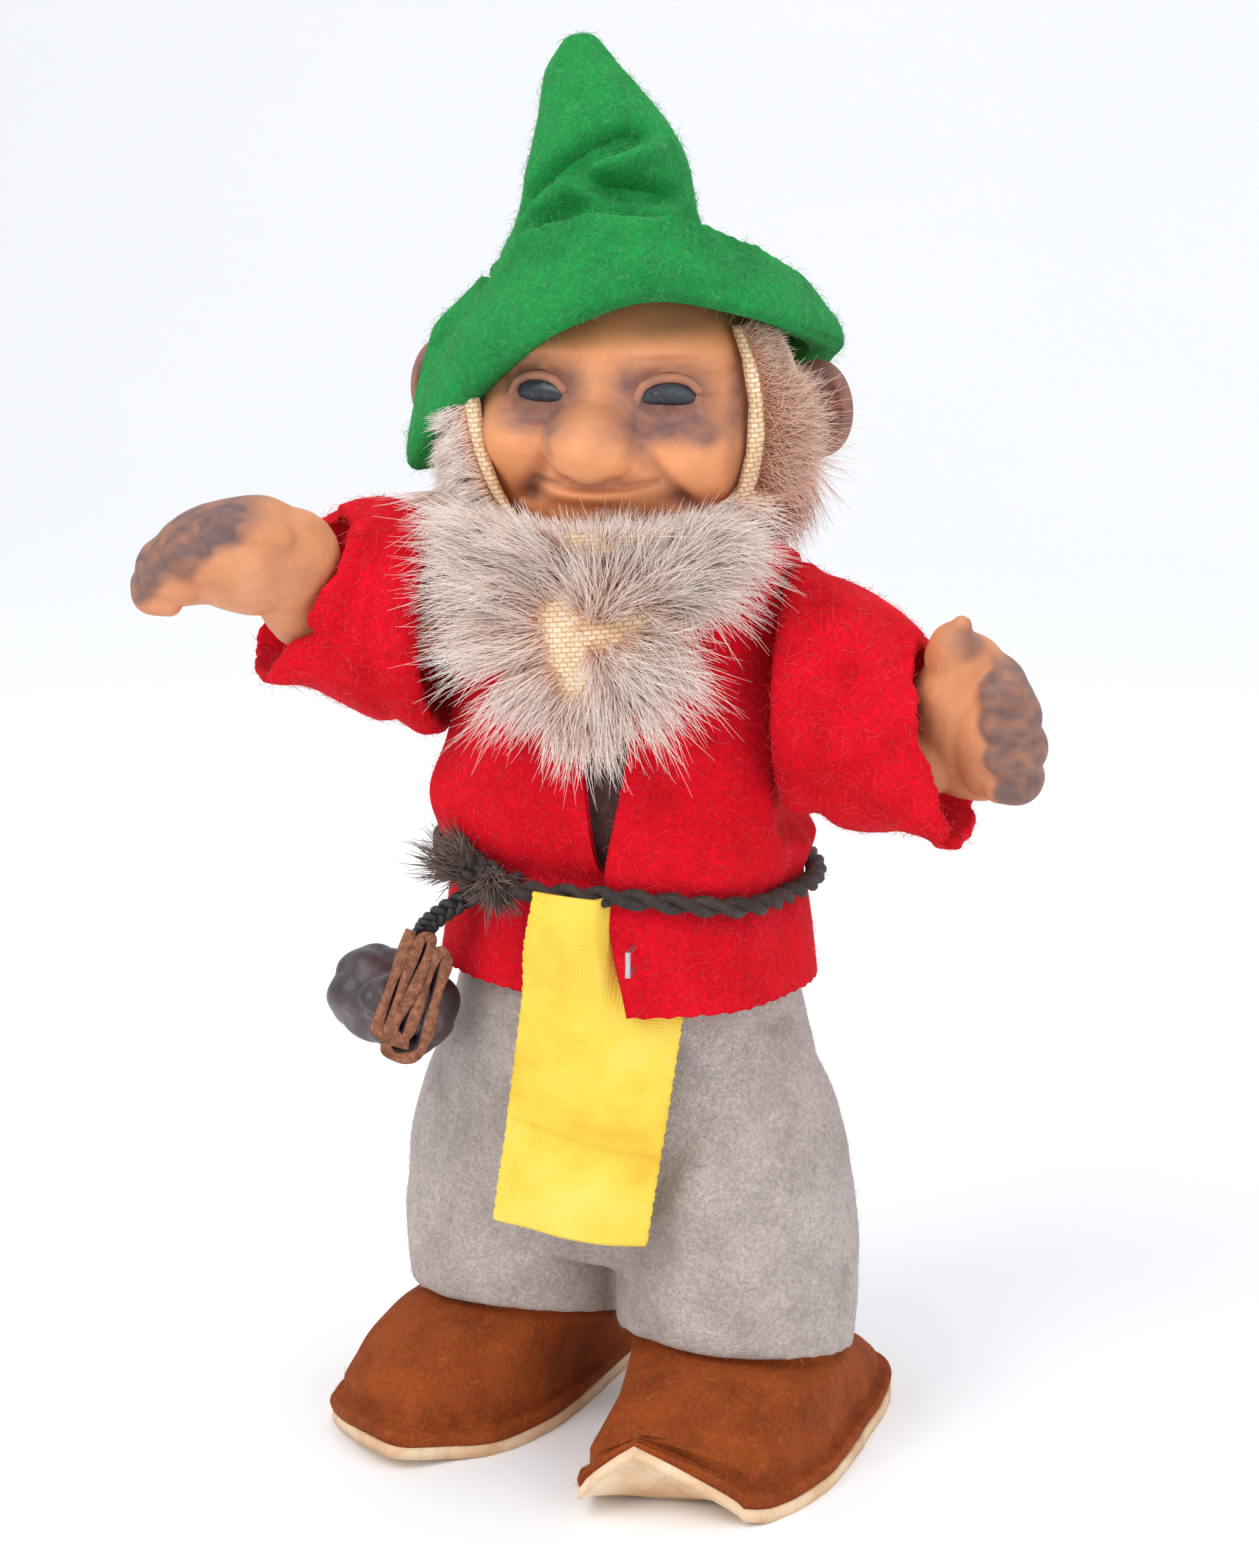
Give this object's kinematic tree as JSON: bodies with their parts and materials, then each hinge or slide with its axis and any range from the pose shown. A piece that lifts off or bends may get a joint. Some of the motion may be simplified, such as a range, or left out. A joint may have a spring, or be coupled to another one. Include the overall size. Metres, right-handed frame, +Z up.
{
  "type": "dwarf doll",
  "caption": "Standing bearded dwarf doll with a moulded head and arms on a stuffed felt body, felt clothes, a cord belt, a blank tag and a hanging pouch.",
  "frame": {"origin": "on the ground, under the middle of the doll's outline", "axes": "+Z up; the chest looks along -Y; the doll's left hand is at +X"},
  "size_m": [0.086, 0.0518, 0.1312],
  "materials": {
    "sole_leather": "raw cream leather with a cut edge",
    "shoe_felt": "rust brown wool felt",
    "stuffing": "wood wool and wool wadding",
    "trouser_felt": "mottled grey wool felt",
    "shirt_felt": "dark brown felt",
    "jacket_felt": "crimson wool felt with cut edges",
    "belt_cord": "dark waxed cord with frayed ends",
    "tag_linen": "sized yellow linen, blank",
    "steel_wire": "bright wire",
    "pouch_leather": "dark soft leather with a raw edge",
    "fibreboard": "pressed fibreboard",
    "skin_vinyl": "painted soft vinyl with a dark wash",
    "hat_felt": "green wool felt",
    "beard_mohair": "cream long-haired plush on a woven ground"
  },
  "bodies": {
    "doll_body": {"right_sole": "sole_leather", "right_shoe_upper": "shoe_felt", "right_leg_stuffing": "stuffing", "left_sole": "sole_leather", "left_shoe_upper": "shoe_felt", "left_leg_stuffing": "stuffing", "trousers": "trouser_felt", "torso_skin": "shirt_felt", "torso_stuffing": "stuffing", "jacket": "jacket_felt", "belt_cord": "belt_cord", "hang_tag": "tag_linen", "tag_staple": "steel_wire", "neck_disc": "fibreboard", "neck_washer": "steel_wire", "neck_pin": "steel_wire", "right_shoulder_disc": "fibreboard", "right_shoulder_washer": "steel_wire", "right_shoulder_pin": "steel_wire", "left_shoulder_disc": "fibreboard", "left_shoulder_washer": "steel_wire", "left_shoulder_pin": "steel_wire"},
    "head_group": {"head_shell": "skin_vinyl", "hat": "hat_felt", "hat_wadding": "stuffing", "beard": "beard_mohair", "back_hair": "beard_mohair", "head_disc": "fibreboard"},
    "right_arm_group": {"right_arm": "skin_vinyl", "right_sleeve": "jacket_felt"},
    "left_arm_group": {"left_arm": "skin_vinyl", "left_sleeve": "jacket_felt"},
    "pouch_group": {"pouch": "pouch_leather", "pouch_thong": "belt_cord"}
  },
  "joints": [
    {"name": "neck_turn", "type": "hinge", "parent": "doll_body", "child": "head_group", "pos_m": [0, 0.0012, 0.088], "axis": [0, 0, 1], "range_deg": [-18, 18]},
    {"name": "right_shoulder", "type": "hinge", "parent": "doll_body", "child": "right_arm_group", "pos_m": [-0.0157, 0.0012, 0.079], "axis": [-1, 0, 0], "range_deg": [-105, 10]},
    {"name": "left_shoulder", "type": "hinge", "parent": "doll_body", "child": "left_arm_group", "pos_m": [0.0157, 0.0012, 0.079], "axis": [-1, 0, 0], "range_deg": [-45, 70]},
    {"name": "pouch_swing", "type": "hinge", "parent": "doll_body", "child": "pouch_group", "pos_m": [-0.0122, -0.0136, 0.0522], "axis": [-0.6429, 0.7659, 0], "range_deg": [0, 50]}
  ]
}
